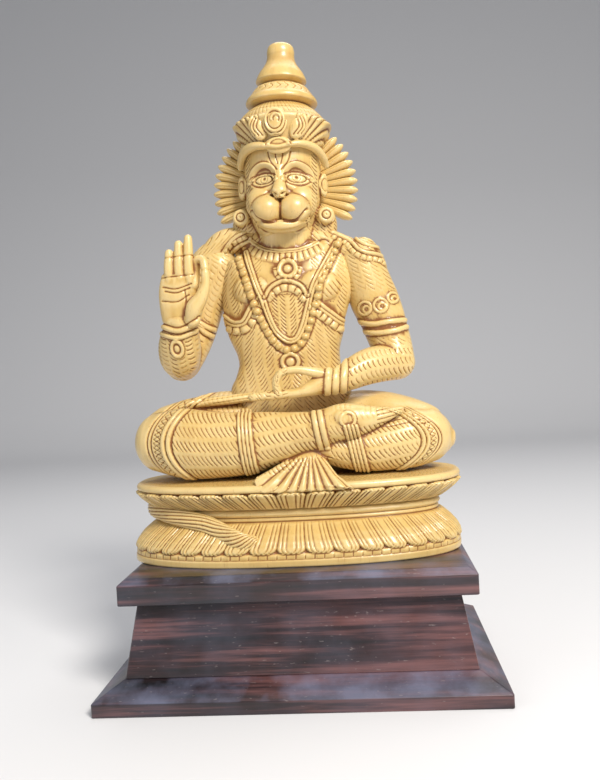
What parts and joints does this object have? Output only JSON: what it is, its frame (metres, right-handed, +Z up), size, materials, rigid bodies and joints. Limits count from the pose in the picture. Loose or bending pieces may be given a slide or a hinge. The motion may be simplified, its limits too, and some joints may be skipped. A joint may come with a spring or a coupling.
{
  "type": "carved wooden hanuman figure on a plinth",
  "caption": "Carved pale wooden Hanuman seated cross-legged on a lotus base with one hand raised in blessing, on a stepped dark rosewood plinth.",
  "frame": {"origin": "middle of the plinth's underside, on the surface it stands on", "axes": "+Z up to the tip of the crown; the figure faces -Y; +X is the viewer's right"},
  "size_m": [0.2, 0.138, 0.3379],
  "materials": {
    "pale_wood": "varnished, glossy on the high places, ochre in the cuts",
    "rosewood": "polished, satin"
  },
  "bodies": {
    "root": {"hanuman_figure": "pale_wood", "plinth_top_slab": "rosewood", "plinth_trunk": "rosewood", "plinth_base_plate": "rosewood"}
  },
  "joints": []
}
